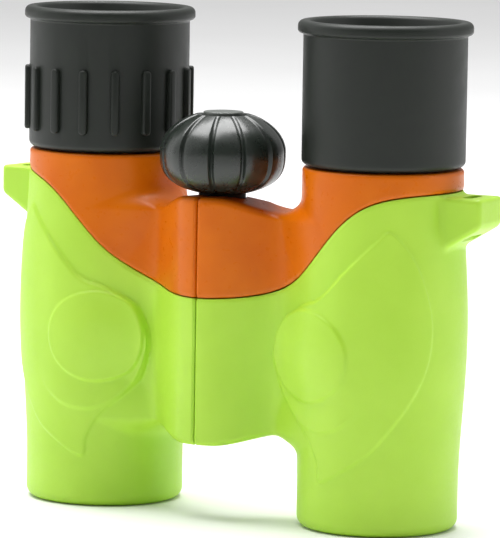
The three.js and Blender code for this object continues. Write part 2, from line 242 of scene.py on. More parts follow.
def spun(corners, segments=96, closed=True):
    """A lathe-turned solid about the origin, from a profile with rounded corners."""
    bm = bmesh.new()
    verts = [bm.verts.new((p[0], 0, p[1])) for p in rounded(corners)]
    edges = [bm.edges.new(pair) for pair in zip(verts, verts[1:])]
    if closed:
        edges.append(bm.edges.new((verts[-1], verts[0])))
    bmesh.ops.spin(bm, geom=verts + edges, cent=(0, 0, 0), axis=(0, 0, 1), angle=2 * math.pi,
                   steps=segments, use_merge=True)
    bmesh.ops.remove_doubles(bm, verts=bm.verts, dist=MERGE)
    return bm


def combine(piece, other, operation):
    """Joins or cuts one object with another, and removes the other."""
    tool = piece.modifiers.new("cut", "BOOLEAN")
    tool.operation = operation
    tool.solver = "MANIFOLD"
    tool.object = other
    graph = bpy.context.evaluated_depsgraph_get()
    mesh = bpy.data.meshes.new_from_object(piece.evaluated_get(graph))
    piece.modifiers.clear()
    piece.data = mesh
    bpy.data.objects.remove(other)
    return piece


def cut(piece, bm):
    return combine(piece, finished("cutter", bm, smooth=False), "DIFFERENCE")


def join(piece, bm):
    return combine(piece, finished("joined", bm, smooth=False), "UNION")


def add_piece(name, bm, body, finish, nodes=()):
    return settle(finished(name, bm), body, finish, nodes)


def settle(piece, body, finish, nodes=()):
    piece.data.materials.clear()
    piece.data.materials.append(finish)
    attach(piece, body)
    if nodes:
        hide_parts(*nodes)
    return piece


# ---------------------------------------------------------------- material helpers


class Signal:
    """One output of a node, so that shader maths reads as arithmetic."""

    def __init__(self, nodes, socket):
        self.nodes = nodes
        self.socket = socket

    def math(self, operation, first, second):
        return self.nodes.node("ShaderNodeMath", {"operation": operation}, {0: first, 1: second})

    def __add__(self, other):
        return self.math("ADD", self, other)

    def __radd__(self, other):
        return self.math("ADD", other, self)

    def __mul__(self, other):
        return self.math("MULTIPLY", self, other)

    def __rmul__(self, other):
        return self.math("MULTIPLY", other, self)


class Nodes:
    """A node tree in the making."""

    def __init__(self, tree):
        self.tree = tree

    def node(self, kind, settings=None, inputs=None, output=0):
        """Adds a node: first its settings, then the values or links of its sockets."""
        made = self.tree.nodes.new(kind)
        for key, value in (settings or {}).items():
            setattr(made, key, value)
        for key, value in (inputs or {}).items():
            self.feed(made.inputs[key], value)
        return Signal(self, made.outputs[output])

    def feed(self, socket, value):
        if isinstance(value, Signal):
            self.tree.links.new(value.socket, socket)
        else:
            socket.default_value = value


class Finish(Nodes):
    """A procedural material in the making, whose patterns are measured in millimetres."""

    def __init__(self, name):
        self.material = bpy.data.materials.new(name)
        self.material.use_nodes = True
        super().__init__(self.material.node_tree)
        self.shader = self.tree.nodes["Principled BSDF"]
        place = self.node("ShaderNodeTexCoord", output="Object")
        self.place = self.node("ShaderNodeVectorMath", {"operation": "SCALE"},
                               {0: place, "Scale": 1 / MM})

    def set(self, **values):
        for key, value in values.items():
            self.feed(self.shader.inputs[key.replace("_", " ")], value)

    def noise(self, per_mm, detail=2, roughness=0.5):
        return self.node("ShaderNodeTexNoise", None, {
            "Vector": self.place, "Scale": per_mm, "Detail": detail, "Roughness": roughness})

    def spread(self, value, low, high):
        """Maps the middle of a noise to a range, and holds it there."""
        return self.node("ShaderNodeMapRange", None, {
            "Value": value, "From Min": 0.3, "From Max": 0.7, "To Min": low, "To Max": high})

    def tint(self, value, dark, light):
        return self.node("ShaderNodeMix", {"data_type": "RGBA"},
                         {"Factor": value, "A": (*dark, 1), "B": (*light, 1)}, output=2)

    def bump(self, height, depth_mm):
        return self.node("ShaderNodeBump", None, {
            "Height": height, "Strength": 1.0, "Distance": depth_mm * MM})


def srgb(red, green, blue):
    """Linear colour from the usual 0 to 255 steps."""
    steps = [c / 255 for c in (red, green, blue)]
    return tuple(c / 12.92 if c <= 0.04045 else ((c + 0.055) / 1.055) ** 2.4 for c in steps)


# ---------------------------------------------------------------- finishes


def soft_armour():
    """Lime soft-touch skin: cloudy in large patches, with a fine moulded grain."""
    finish = Finish("lime_armour")
    patches = finish.noise(0.06, detail=3)
    grain = finish.noise(5.5, detail=3, roughness=0.6)
    shade = finish.spread(patches * 0.8 + grain * 0.2, 0, 1)
    finish.set(Base_Color=finish.tint(shade, srgb(166, 212, 48), srgb(177, 221, 64)),
               Roughness=finish.spread(finish.noise(1.3, detail=4), 0.42, 0.52),
               Specular_IOR_Level=0.55,
               Normal=finish.bump(grain + finish.noise(14, detail=1) * 0.4, 0.012))
    finish.shader.inputs["Subsurface Weight"].default_value = 0.08
    finish.shader.inputs["Subsurface Radius"].default_value = (0.6, 1.0, 0.3)
    finish.shader.inputs["Subsurface Scale"].default_value = 1.2 * MM
    return finish.material


def moulded_shell():
    """Orange hard plastic: satin, with the slight ripple of a moulding."""
    finish = Finish("orange_shell")
    flow = finish.noise(0.09, detail=3)
    texture = finish.noise(7, detail=2)
    shade = finish.spread(flow * 0.85 + texture * 0.15, 0, 1)
    finish.set(Base_Color=finish.tint(shade, srgb(201, 95, 0), srgb(213, 109, 5)),
               Roughness=finish.spread(finish.noise(0.8, detail=4), 0.26, 0.36),
               Specular_IOR_Level=0.22,
               Normal=finish.bump(texture, 0.006))
    return finish.material


def eyecup_rubber():
    """Dark grey-green rubber: matt, a little dusty, with a sandy grain."""
    finish = Finish("eyecup_rubber")
    dust = finish.noise(0.25, detail=5, roughness=0.65)
    grain = finish.noise(9, detail=3, roughness=0.7)
    shade = finish.spread(dust * 0.6 + grain * 0.4, 0, 1)
    finish.set(Base_Color=finish.tint(shade, srgb(17, 22, 17), srgb(27, 33, 26)),
               Roughness=finish.spread(dust, 0.42, 0.52),
               Specular_IOR_Level=0.35,
               Normal=finish.bump(grain, 0.014))
    return finish.material


def knob_rubber():
    """The focus grip's harder rubber: polished by fingers, with small pits and dust."""
    finish = Finish("knob_rubber")
    wear = finish.noise(0.35, detail=4, roughness=0.6)
    pits = finish.noise(7, detail=3, roughness=0.7)
    shade = finish.spread(wear * 0.6 + pits * 0.4, 0, 1)
    finish.set(Base_Color=finish.tint(shade, srgb(24, 30, 25), srgb(33, 40, 34)),
               Roughness=finish.spread(wear, 0.24, 0.34),
               Specular_IOR_Level=0.6,
               Normal=finish.bump(pits, 0.003))
    return finish.material


def fine_plastic(name, dark, light, roughness=0.45, gloss=0.5):
    """Small moulded parts: spark-eroded texture on plain plastic."""
    finish = Finish(name)
    texture = finish.noise(8, detail=3, roughness=0.6)
    shade = finish.spread(finish.noise(0.4, detail=3), 0, 1)
    finish.set(Base_Color=finish.tint(shade, dark, light),
               Roughness=finish.spread(texture, roughness - 0.06, roughness + 0.06),
               Specular_IOR_Level=gloss, Normal=finish.bump(texture, 0.008))
    return finish.material


def turned_metal(name, dark, light):
    """Lathe-turned metal, with rings round the vertical axis and slight staining."""
    finish = Finish(name)
    rings = finish.node("ShaderNodeTexWave", {"bands_direction": "Z"}, {
        "Vector": finish.place, "Scale": 3.0, "Distortion": 1.5, "Detail": 2.0})
    stain = finish.noise(0.5, detail=4)
    finish.set(Base_Color=finish.tint(finish.spread(stain, 0, 1), dark, light), Metallic=1.0,
               Roughness=finish.spread(rings * 0.5 + stain * 0.5, 0.22, 0.38),
               Normal=finish.bump(rings, 0.006))
    return finish.material


def coated_glass():
    """Lens glass with a thin violet-green coating and faint dust."""
    finish = Finish("coated_glass")
    dust = finish.noise(1.2, detail=5, roughness=0.7)
    facing = finish.node("ShaderNodeLayerWeight", None, {"Blend": 0.35}, output="Facing")
    finish.set(Base_Color=finish.tint(facing, srgb(178, 214, 206), srgb(196, 178, 222)),
               Roughness=finish.spread(dust, 0.02, 0.07))
    finish.shader.inputs["Transmission Weight"].default_value = 0.92
    finish.shader.inputs["IOR"].default_value = 1.52
    finish.shader.inputs["Coat Weight"].default_value = 0.6
    finish.shader.inputs["Coat Roughness"].default_value = 0.03
    return finish.material


def pale_floor():
    """A matt white studio sweep, barely mottled."""
    finish = Finish("studio_floor")
    mottle = finish.noise(0.01, detail=3)
    finish.set(Base_Color=finish.tint(finish.spread(mottle, 0, 1), (0.86, 0.86, 0.86),
                                      (0.88, 0.88, 0.88)),
               Roughness=0.7, Specular_IOR_Level=0.2,
               Normal=finish.bump(finish.noise(0.8), 0.01))
    return finish.material


LIME = soft_armour()
ORANGE = moulded_shell()
RUBBER = eyecup_rubber()
GRIP = knob_rubber()
# Darker copy of the black plastic for the knob's collar: its colour is painted shade, standing in for
# the shadow under the knob.
BLACK_PAINTED_SHADE = fine_plastic("black_plastic_painted_shade", srgb(9, 10, 9), srgb(15, 16, 15), 0.6, 0.1)
BLACK = fine_plastic("black_plastic", srgb(22, 23, 21), srgb(34, 35, 33))
GREY = fine_plastic("grey_plastic", srgb(84, 88, 84), srgb(100, 104, 99), 0.34)
NYLON = fine_plastic("white_nylon", srgb(220, 220, 212), srgb(232, 232, 226), 0.5)
STEEL = turned_metal("turned_steel", srgb(170, 172, 175), srgb(196, 198, 200))
BRASS = turned_metal("turned_brass", srgb(188, 150, 78), srgb(212, 176, 100))
GLASS = coated_glass()

# ---------------------------------------------------------------- the smooth outer form


def fillet_join(a, b, radius):
    """Two distance fields joined, with a hollow fillet between them."""
    rest = np.hypot(np.maximum(radius - a, 0), np.maximum(radius - b, 0))
    return np.maximum(np.minimum(a, b), radius) - rest


def round_cut(a, b, radius):
    """The part inside both distance fields, with a rounded edge."""
    rest = np.hypot(np.maximum(a + radius, 0), np.maximum(b + radius, 0))
    return np.minimum(np.maximum(a, b), -radius) + rest


def ease(value, low, high):
    t = np.clip((value - low) / (high - low), 0, 1)
    return t * t * (3 - 2 * t)


def parting_height(along):
    """The line between housing and armour: low on the bridge, high on the barrel's outside."""
    return PARTING_Z + PARTING_RISE * np.tanh((along - PARTING_MIDDLE) / PARTING_SPREAD)


# The raised leaf on each barrel, as corners of a smooth closed line: degrees round the barrel
# from its outside, and height.
LEAF = [(68, 60), (79, 58), (97, 52.8), (118, 46.6), (138, 44.4), (156, 40.8), (165.5, 35),
        (162, 28.5), (150, 23.6), (133, 19.2), (123, 14.5), (119.5, 10.3), (98, 13.4), (80, 17),
        (62, 23.3), (49, 29), (41, 35), (39, 42), (43.5, 48.5), (52, 54.5)]
LEAF_R = 17.2                    # radius at which the pattern is laid out
LEAF_RISE = 0.45
DISC = (129.5, 34.9, 33.5, 9.1)  # finger rest: middle and half size, in degrees and height
DISC_RISE = 0.5                  # how far it stands up at its edge
DISC_CROWN = 0.45                # and what its middle adds
DISC_CROWN_SPAN = (0, 7)
STEP = (120, 42, 50, 22)         # oval that lifts the leaf round the finger rest by one more step
STEP_RISE = 0.4
STEP_FROM = (84, 104)            # the step comes up between these degrees
SOFT_EDGE = (-0.35, 0.35)        # width of the slope at the edges of leaf and step
DISC_EDGE = (-0.3, 0.35)
PATTERN_FROM = 19                # past this reach, the pattern's lines turn off onto the bridge,
PATTERN_TURN = 3                 # by this many degrees for each millimetre,
PATTERN_INSIDE = 90              # on the side past these degrees


def smooth_loop(corners, steps=8):
    """A closed Catmull-Rom line through the corners."""
    p = np.array(corners, float)
    a, b, c, d = np.roll(p, 1, 0), p, np.roll(p, -1, 0), np.roll(p, -2, 0)
    t = np.linspace(0, 1, steps, endpoint=False)[:, None, None]
    curve = 0.5 * (2 * b + (c - a) * t + (2 * a - 5 * b + 4 * c - d) * t ** 2
                   + (3 * b - a - 3 * c + d) * t ** 3)
    return curve.transpose(1, 0, 2).reshape(-1, 2)


def inside_loop(loop, x, y):
    """Signed distance from a closed line, positive inside."""
    nearest = np.full(x.shape, np.inf)
    odd = np.zeros(x.shape, bool)
    for (ax, ay), (bx, by) in zip(loop, np.roll(loop, -1, 0)):
        ex, ey = bx - ax, by - ay
        t = np.clip(((x - ax) * ex + (y - ay) * ey) / (ex * ex + ey * ey), 0, 1)
        nearest = np.minimum(nearest, np.hypot(x - ax - t * ex, y - ay - t * ey))
        crosses = (ay > y) != (by > y)
        odd ^= crosses & (x < ax + (y - ay) * ex / (ey or TINY))
    return np.where(odd, nearest, -nearest)


def inside_oval(oval, degrees, z):
    """Rough signed distance from an oval, positive inside."""
    middle, height, half_degrees, half_height = oval
    half_width = half_degrees * math.pi / 180 * LEAF_R
    u = (degrees - middle) / half_degrees
    v = (z - height) / half_height
    return (1 - np.hypot(u, v)) * min(half_width, half_height)


LEAF_LINE = smooth_loop(LEAF) * (math.pi / 180 * LEAF_R, 1)


def relief(degrees, z):
    """Height of the raised pattern on the armour."""
    leaf = inside_loop(LEAF_LINE, degrees * math.pi / 180 * LEAF_R, z)
    disc = inside_oval(DISC, degrees, z)
    step = inside_oval(STEP, degrees, z)
    on_leaf = ease(leaf, *SOFT_EDGE)
    under = ease(step, *SOFT_EDGE) * on_leaf * ease(degrees, *STEP_FROM)
    dome = ease(disc, *DISC_EDGE) * (DISC_RISE + DISC_CROWN * ease(disc, *DISC_CROWN_SPAN))
    return LEAF_RISE * on_leaf + STEP_RISE * under + dome


def outer_form(x, y, z):
    """Distance from the outer surface of one half, with its barrel on +X and the hinge at 0, 0."""
    across, back = x - ARM_X, y - ARM_Y
    outward = np.arctan2(-back, across) + SWEEP
    degrees = np.degrees(outward) % 360
    fullness = SWELL + OUTER_SWELL * np.cos(outward / 2) ** 2
    level = np.clip((z - SWELL_Z[0]) / (SWELL_Z[1] - SWELL_Z[0]), 0, 1)
    reach = np.hypot(across, back)
    wall = reach - BARREL_R - fullness * np.sin(np.pi * level) ** 2
    barrel = round_cut(round_cut(wall, z - BARREL_TOP, TOP_ROUND), -z, RIM_ROUND)

    along, ahead = from_arm(x, y)
    web = np.maximum(np.maximum(ahead - WEB_FRONT, -WEB_BACK - ahead), along - WEB_REACH)
    rear = y * math.cos(SWEEP + REAR_ANGLE) - x * math.sin(SWEEP + REAR_ANGLE)
    valley = REAR_FILLET + (VALLEY_FILLET - REAR_FILLET) * ease(ahead, *VALLEY_BLEND)
    plan = fillet_join(np.hypot(x, y) - BRIDGE_R, wall, valley)
    plan = fillet_join(plan, web, WEB_FILLET)
    plan = round_cut(plan, rear - FAR * ease(along, *REAR_SPAN), REAR_ROUND)
    top = BRIDGE_Z[1] - BRIDGE_FALL * ease(along, *FALL_SPAN)
    bottom = BRIDGE_Z[0] + BRIDGE_RISE * ease(along, *RISE_SPAN)
    bridge = round_cut(round_cut(plan, z - top, BRIDGE_ROUND), bottom - z, BRIDGE_ROUND)

    from_ends = np.minimum(top - z, z - bottom)
    hollow = END_FILLET + LOW_FILLET * ease(LOW_FROM - z, 0, LOW_BLEND)
    hollow = hollow * (1 - ease(along, *END_SPAN)) * (1 - ease(from_ends, 0, END_DEPTH))
    joined = fillet_join(barrel, bridge, hollow)
    turned = PATTERN_TURN * np.maximum(reach - PATTERN_FROM, 0) * (degrees > PATTERN_INSIDE)
    raised = relief(degrees + turned, z)
    return round_cut(joined - raised, SEAM - x, SEAM_ROUND)


def lug_form(x, y, z):
    """Distance from the strap lug: a bar out from the barrel, cut away below."""
    across, back = x - ARM_X, y - ARM_Y
    out = across * math.cos(LUG_ANGLE) + back * math.sin(LUG_ANGLE)
    side = np.abs(back * math.cos(LUG_ANGLE) - across * math.sin(LUG_ANGLE)) - LUG_HALF_WIDTH
    slope = (LUG_LIP - LUG_SLANT * (LUG_TIP - out) - z) / math.hypot(1, LUG_SLANT)
    ends = round_cut(out - LUG_TIP, slope, LIP_ROUND)
    bar = round_cut(side, ends, LUG_SIDE_ROUND)
    return round_cut(bar, round_cut(z - LUG_TOP, LUG_ROOT - out, LUG_ROOT_ROUND), LUG_TOP_ROUND)


def armour_form(x, y, z):
    return fillet_join(outer_form(x, y, z), lug_form(x, y, z), LUG_FILLET)


def groove_along_parting(x, y, z):
    """How far the surface dips beside the parting line, for softly rounded edges there."""
    along, _ = from_arm(x, y)
    slope = PARTING_RISE / PARTING_SPREAD / np.cosh((along - PARTING_MIDDLE) / PARTING_SPREAD) ** 2
    away = np.abs(z - parting_height(along)) / np.sqrt(1 + slope ** 2)
    return GROOVE_DEPTH * np.clip(1 - away / GROOVE_HALF, 0, 1) ** 2


BLANK_R = 17.5                   # the rough block stands a little proud of the form
BLANK_Z = (-0.3, 71.6)
BLANK_BRIDGE_Z = (13, 65)
BLANK_LUG_Z = (56, 67)
STAGES = ((1.0, 10), (VOXEL, 5))         # mesh size, and rounds of drawing on and relaxing
LAST_DRAWS = 2


def blank():
    """A rough block that holds the left half, as the start of its smooth form."""
    rough = finished("moulding", post(BLANK_R, BLANK_Z, barrel_axis(1)), smooth=False)
    bridge = [on_arm(1, 24, 9), on_arm(1, 24, -7), (3, 3), (SEAM, -1), (SEAM, -10), (5, -9.5)]
    lug = [on_arm(1, 47, 8.5), on_arm(1, 59, 8), on_arm(1, 57, -8), on_arm(1, 47, -8)]
    join(rough, prism(bridge, BLANK_BRIDGE_Z))
    return join(rough, prism(lug, BLANK_LUG_Z))


def even_out(piece, voxel):
    """Gives a solid an even mesh of the given size."""
    remesh = piece.modifiers.new("even", "REMESH")
    remesh.mode = "VOXEL"
    remesh.voxel_size = voxel * MM
    graph = bpy.context.evaluated_depsgraph_get()
    piece.data = bpy.data.meshes.new_from_object(piece.evaluated_get(graph))
    piece.modifiers.clear()


def press(piece, rounds):
    """Draws an even mesh onto the moulded form, keeping its points evenly spread."""
    mesh = piece.data
    places = np.empty(len(mesh.vertices) * 3, np.float32)
    mesh.vertices.foreach_get("co", places)
    places = places.reshape(-1, 3).astype(float) / MM - (HINGE.x, HINGE.y, 0)
    ends = np.empty(len(mesh.edges) * 2, np.int32)
    mesh.edges.foreach_get("vertices", ends)
    ends = ends.reshape(-1, 2)

    def distance(p):
        x, y, z = p.T
        return armour_form(x, y, z) + groove_along_parting(x, y, z)

    for _ in range(rounds):
        draw_onto(places, distance)
        relax(places, ends)
    for _ in range(LAST_DRAWS):
        draw_onto(places, distance)
    places += (HINGE.x, HINGE.y, 0)
    mesh.vertices.foreach_set("co", (places * MM).astype(np.float32).ravel())
    mesh.update()


def mould_half():
    """The whole outer form of the left half, before it is cut into shell and armour."""
    piece = blank()
    for voxel, rounds in STAGES:
        even_out(piece, voxel)
        press(piece, rounds)
    return piece


def draw_onto(places, distance):
    """Moves each point along the field's slope towards its zero surface."""
    probe = 0.02                 # the slope is measured over this distance
    flattest = 0.25              # least squared slope, so that no point is thrown far
    longest = 1.5                # longest single move
    here = distance(places)
    slope = np.empty_like(places)
    for axis in range(3):
        shifted = places.copy()
        shifted[:, axis] += probe
        slope[:, axis] = (distance(shifted) - here) / probe
    length = np.maximum((slope ** 2).sum(1), flattest)
    move = slope * (here / length)[:, None]
    size = np.maximum(np.linalg.norm(move, axis=1), TINY)
    places -= move * np.minimum(1, longest / size)[:, None]


def relax(places, ends):
    """Moves each point half way to the middle of its neighbours."""
    total = np.zeros_like(places)
    count = np.zeros(len(places))
    for a, b in ((0, 1), (1, 0)):
        np.add.at(total, ends[:, a], places[ends[:, b]])
        np.add.at(count, ends[:, a], 1)
    places += 0.5 * (total / count[:, None] - places)


def parting_block(side, shift):
    """Everything below the parting line of one half, moved up or down by a shift."""
    near, far, foot, deep = -8, 62, -6, 45
    line = [(s, parting_height(s) + shift) for s in range(far, near - 1, -1)]
    outline = [(near, foot), (far, foot)] + line
    bm = bmesh.new()
    verts = [bm.verts.new(on_arm(side, s, deep) + Vector((0, 0, z))) for s, z in outline]
    raised = bmesh.ops.extrude_face_region(bm, geom=[bm.faces.new(verts)])
    moved = [v for v in raised["geom"] if isinstance(v, bmesh.types.BMVert)]
    bmesh.ops.translate(bm, vec=on_arm(side, 0, -deep) - on_arm(side, 0, deep), verts=moved)
    return bm


def web_cavity(side):
    """The room that the armour leaves for the arm's core."""
    reach = BRIDGE_R - SKIN
    s, n = reach * math.cos(REAR_ANGLE), reach * math.sin(REAR_ANGLE)
    front, back = WEB_FRONT - SKIN, SKIN - WEB_BACK
    corner, barrel = 13.2, 20    # along the arm: the web's front corner, and inside the barrel
    outline = [(0, 0), (s, -n), (barrel, back), (barrel, front), (corner, front), (s, n)]
    return prism([on_arm(side, *p) for p in outline], (WEB_FLOOR, OVER_BRIDGE))


def strap_slot(side):
    """The slot through the lug: a post whose two halves are moved apart, for round ends."""
    radius, straight = SLOT_HALF
    bm = post(radius, SLOT_Z, segments=24)
    for v in bm.verts:
        v.co.y += straight if v.co.y > -0.01 else -straight
    middle = barrel_axis(side) + Vector((side * SLOT_OUT * math.cos(LUG_ANGLE),
                                         SLOT_OUT * math.sin(LUG_ANGLE), 0))
    turn = Matrix.Rotation(side * LUG_ANGLE, 4, "Z")
    bmesh.ops.transform(bm, matrix=Matrix.Translation(middle) @ turn, verts=bm.verts)
    return bm


def casting(moulding, name, side):
    """A copy of the moulded half, mirrored for the right."""
    twin = bpy.data.objects.new(name, moulding.data.copy())
    bpy.context.scene.collection.objects.link(twin)
    if side < 0:
        about = Matrix.Translation((HINGE.x * MM, 0, 0))
        twin.data.transform(about @ Matrix.Scale(-1, 4, (1, 0, 0)) @ about.inverted())
        twin.data.flip_normals()
    return twin


def make_armour(moulding, name, side, body):
    piece = casting(moulding, f"{name}_armour_skin", side)
    combine(piece, finished("cutter", parting_block(side, -GAP / 2), smooth=False), "INTERSECT")
    cut(piece, post(BARREL_R - SKIN, (SKIN, OVER_BARREL), barrel_axis(side)))
    cut(piece, post(BORE_R + GAP, (UNDER_ALL, OBJECTIVE_HOLE_TOP), barrel_axis(side)))
    cut(piece, web_cavity(side))
    cut(piece, post(BRIDGE_R - SKIN, (HUB_FLOOR, OVER_BRIDGE)))
    cut(piece, post(END_CAP_HOLE, END_CAP_HOLE_Z))
    cut(piece, strap_slot(side))
    finish_cut(piece)
    settle(piece, body, LIME, [f"{name}_armour"])


def finish_cut(piece):
    """Clears the splinters and double faces that the cuts leave, and marks the sharp edges."""
    bm = bmesh.new()
    bm.from_mesh(piece.data)
    bmesh.ops.remove_doubles(bm, verts=bm.verts, dist=SPLINTER * MM)
    bmesh.ops.dissolve_degenerate(bm, edges=bm.edges, dist=SPLINTER / 2 * MM)
    seen = {}
    flaps = []
    for face in bm.faces:
        corners = frozenset(face.verts)
        if corners in seen:
            flaps += [face, seen[corners]]
        seen[corners] = face
    bmesh.ops.delete(bm, geom=flaps, context="FACES")
    bm.to_mesh(piece.data)
    bm.free()
    piece.data.shade_smooth()
    piece.data.set_sharp_from_angle(angle=SHARP)


def core_room(side):
    """The space just inside the shell, which holds the tubes, knuckles and shelves."""
    clear = 0.1                  # kept to the floors of the armour
    room = finished("room", post(CORE_R, (-1, CORE_TOP), barrel_axis(side)), smooth=False)
    web = [on_arm(side, 0, -3), on_arm(side, 10, -6), on_arm(side, 22, -6), on_arm(side, 22, 0.5),
           on_arm(side, 0, 4)]
    join(room, prism(web, (WEB_FLOOR + clear, CORE_WEB_TOP)))
    join(room, post(CORE_HUB_R, (HUB_FLOOR + clear, CORE_HUB_TOP)))
    over, edge = -side * FAR, side * (SEAM + clear / 2)
    over_seam = [(over, -FAR), (edge, -FAR), (edge, FAR), (over, FAR)]
    return cut(room, prism(over_seam, (UNDER_ALL, OVER_BARREL + 10)))


def make_housing(moulding, name, side, body):
    piece = casting(moulding, f"{name}_housing_shell", side)
    core = merged_copy(f"{name}_housing")
    combine(core, core_room(side), "INTERSECT")
    cut(piece, parting_block(side, GAP / 2))
    cut(piece, post(BORE_R, (UNDER_ALL, OVER_BARREL), barrel_axis(side)))
    cut(piece, post(HINGE_ROOM, HINGE_ROOM_Z))
    cut(piece, post(COLLAR_HOLE, COLLAR_HOLE_Z))
    combine(piece, core, "UNION")
    finish_cut(piece)
    settle(piece, body, ORANGE, [f"{name}_housing"])


def merged_copy(node):
    """A copy of a CAD node's mesh, with its loose triangles merged."""
    twin = bpy.data.objects.new("core", frame["nodes"][node].data.copy())
    bpy.context.scene.collection.objects.link(twin)
    bm = bmesh.new()
    bm.from_mesh(twin.data)
    bmesh.ops.remove_doubles(bm, verts=bm.verts, dist=0.001 * MM)
    bm.to_mesh(twin.data)
    bm.free()
    return twin


# ---------------------------------------------------------------- eyepieces

CUP_LOW, CUP_HIGH = 71.6, 100.0
CUP_R = 16.13
CUP_SEAT_R = 14.6                # bore that sits on the carrier
CUP_SHELF = 90.2                 # height of that bore's upper end
CUP_MOUTH_R = 13.8
LIP_R = 17.23
LIP_LOW = 97.35
RIBS = 16                        # on the diopter grip
FIRST_RIB = math.radians(14.2)


def eyecup(side):
    """The soft cup: a plain sleeve that flares into a rolled lip."""
    profile = [(CUP_SEAT_R, CUP_LOW, 0), (CUP_R, CUP_LOW, 1.2), (CUP_R, LIP_LOW, 0.45),
               (LIP_R, 97.6, 0.75), (LIP_R, CUP_HIGH, 1.15), (14.7, CUP_HIGH, 1.0),
               (CUP_MOUTH_R, 97.4, 1.0), (CUP_MOUTH_R, CUP_SHELF, 0),
               (CUP_SEAT_R, CUP_SHELF, 0)]
    bm = spun(profile, segments=128)
    bmesh.ops.translate(bm, vec=barrel_axis(side), verts=bm.verts)
    return bm


def grip_rib(angle):
    """One raised pill of the diopter grip, standing out from the cup."""
    low, high, width = 75.0, 88.0, 1.8
    root, proud = 15.4, 17.1     # its inner and outer faces, from the barrel's axis
    bm = bmesh.new()
    bmesh.ops.create_cube(bm, size=1)
    bmesh.ops.scale(bm, vec=(proud - root, width, high - low), verts=bm.verts)
    ends = [e for e in bm.edges if abs((e.verts[0].co - e.verts[1].co).normalized().x) > 0.9]
    bmesh.ops.bevel(bm, geom=ends, offset=width * 0.49, segments=6, profile=0.5, affect="EDGES",
                    material=-1)
    face = max(bm.faces, key=lambda f: f.calc_center_median().x)
    bmesh.ops.bevel(bm, geom=list(face.edges), offset=0.42, segments=3, profile=0.5,
                    affect="EDGES", material=-1)
    bmesh.ops.translate(bm, vec=((root + proud) / 2, 0, (low + high) / 2), verts=bm.verts)
    bmesh.ops.rotate(bm, cent=(0, 0, 0), matrix=Matrix.Rotation(angle, 3, "Z"), verts=bm.verts)
    return bm


def make_eyecup(name, side, body):
    piece = finished(f"{name}_soft_eyecup", eyecup(side))
    if side < 0:
        for i in range(RIBS):
            bm = grip_rib(FIRST_RIB + i * 2 * math.pi / RIBS)
            bmesh.ops.translate(bm, vec=barrel_axis(side), verts=bm.verts)
            join(piece, bm)
        finish_cut(piece)
    settle(piece, body, RUBBER, [f"{name}_eyecup"])


def make_turned(name, profile, centre, body, finish, node, segments=96):
    """A spun piece that stands for one CAD node."""
    bm = spun(profile, segments, closed=profile[0][0] > 0)
    bmesh.ops.translate(bm, vec=centre, verts=bm.verts)
    add_piece(name, bm, body, finish, [node])


def ring(inner, outer, low, high, soft=0.25):
    """The profile of a plain ring with softened corners."""
    return [(inner, low, soft), (outer, low, soft), (outer, high, soft), (inner, high, soft)]


def lens_profile(radius, low, high, bulge):
    """A lens with two round faces and a narrow ground edge."""
    steps = 10
    lower = [(radius * i / steps, low - bulge * (1 - (i / steps) ** 2), 0)
             for i in range(steps + 1)]
    upper = [(radius * i / steps, high + bulge * (1 - (i / steps) ** 2), 0)
             for i in range(steps, -1, -1)]
    return lower + upper


def make_eyepiece(name, side, body, ocular_body, cup_body):
    centre = barrel_axis(side)
    make_eyecup(name, side, cup_body)
    carrier = "left_eyecup_carrier" if side > 0 else "right_diopter_ring"
    plastic = ("black_plastic", BLACK)
    glass = ("lens_glass", GLASS)
    parts = [
        (carrier, ring(12.9, 14.3, 71.6, 89.9), cup_body, *plastic),
        (f"{name}_eyepiece_tube", ring(9.6, 12.3, 67, 88.4, 0.4), ocular_body, *plastic),
        (f"{name}_eye_lens", lens_profile(9.3, 82.6, 85, 1), ocular_body, *glass),
        (f"{name}_eye_lens_ring", ring(8.2, 9.3, 85.8, 88.2, 0.3), ocular_body, *plastic),
        (f"{name}_lens_spacer", ring(8.2, 9.3, 75.6, 81.9), ocular_body, *plastic),
        (f"{name}_field_lens", lens_profile(9.3, 72.8, 74.6, 0.9), ocular_body, *glass),
        (f"{name}_field_stop", ring(5.5, 9.3, 69, 69.8), ocular_body, *plastic),
        (f"{name}_objective_lens", lens_profile(12.2, 7.8, 11, 1.2), body, *glass),
        (f"{name}_objective_ring", ring(10.8, 12.3, 5.2, 7.4, 0.4), body, *plastic),
    ]
    for node, profile, rider, slot, finish in parts:
        make_turned(f"{node}_fine", profile, centre, rider, finish, node)


# ---------------------------------------------------------------- focus knob and hinge


KNOB_R = 12.49
KNOB_MIDDLE = 72.9
KNOB_LOW, KNOB_HIGH = 64.95, 80.35
KNOB_DOME = 8.35                 # height of the full dome above the middle, before its top is cut off
KNOB_BELLY = 8.5                 # and of the fuller curve below
CORE_HOLE = 6.0                  # bore over the core
CAP_RIM = 4.4                    # radius of the recess under the cap
KNOB_STEPS = 56
KNOB_SEGMENTS = 480
LOBES = 12
FIRST_GROOVE = math.radians(20.3)
CHANNEL_DEPTH = 0.62
CHANNEL_FLAT = 0.22              # half the channel's flat bottom
CHANNEL_SIDE = 0.42              # width of each of its sides
LOBE_CROWN = 0.5


def knob_radius(height):
    """Half width of the knob's body: round above its middle, fuller below."""
    if height >= 0:
        return KNOB_R * math.sqrt(max(0, 1 - (height / KNOB_DOME) ** 2))
    return KNOB_R * math.sqrt(max(0, 1 - (-height / KNOB_BELLY) ** 3))


